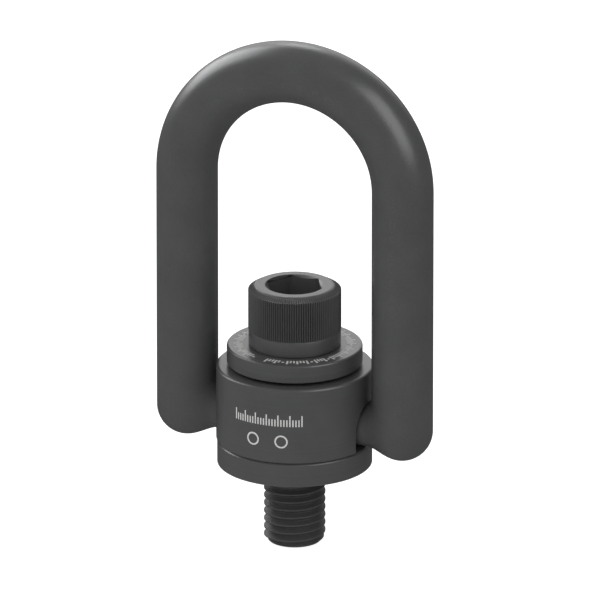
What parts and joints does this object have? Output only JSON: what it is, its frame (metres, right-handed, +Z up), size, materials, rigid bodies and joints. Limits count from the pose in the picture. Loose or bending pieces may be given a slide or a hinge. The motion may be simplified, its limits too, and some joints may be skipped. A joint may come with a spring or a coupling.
{
  "type": "swivel hoist ring",
  "caption": "Screw-on lifting ring whose forged u-bar swings on a body that swivels round a flanged bushing, clamped by a knurled socket head cap screw and a load washer.",
  "frame": {"origin": "centre of the bushing's mounting face, on the screw axis", "axes": "+Z up the screw axis to the crown of the upright u-bar, X along the axis on which the u-bar swings, Y towards the sides it swings to"},
  "size_m": [0.0894, 0.0484, 0.1622],
  "materials": {
    "black_oxide_forged": "satin black oxide on a blasted forging",
    "black_oxide_turned": "satin black oxide on turned steel",
    "black_oxide_screw": "oiled black oxide on alloy steel",
    "spring_steel": "dark phosphated spring steel",
    "ground_steel": "bright ground steel"
  },
  "bodies": {
    "bushing": {"flanged_bushing": "black_oxide_turned"},
    "swivel_body": {"swivel_body": "black_oxide_turned", "trunnion_pin_right_front": "ground_steel", "trunnion_pin_right_rear": "ground_steel", "trunnion_pin_left_front": "ground_steel", "trunnion_pin_left_rear": "ground_steel"},
    "u_bar": {"u_bar": "black_oxide_forged"},
    "load_washer": {"load_washer": "black_oxide_turned"},
    "retaining_ring": {"retaining_ring": "spring_steel"},
    "cap_screw": {"cap_screw": "black_oxide_screw"}
  },
  "joints": [
    {"name": "swivel", "type": "hinge", "parent": "bushing", "child": "swivel_body", "pos_m": [0, 0, 0.0197], "axis": [0, 0, 1], "continuous": true},
    {"name": "bail_pivot", "type": "hinge", "parent": "swivel_body", "child": "u_bar", "pos_m": [0, 0, 0.01435], "axis": [1, 0, 0], "range_deg": [-90, 90]},
    {"name": "washer_turn", "type": "hinge", "parent": "bushing", "child": "load_washer", "pos_m": [0, 0, 0.0356], "axis": [0, 0, 1], "continuous": true},
    {"name": "screw_lift", "type": "slide", "parent": "bushing", "child": "retaining_ring", "axis": [0, 0, 1], "range_m": [0, 0.0018]},
    {"name": "screw_turn", "type": "hinge", "parent": "retaining_ring", "child": "cap_screw", "pos_m": [0, 0, 0], "axis": [0, 0, 1], "continuous": true}
  ]
}
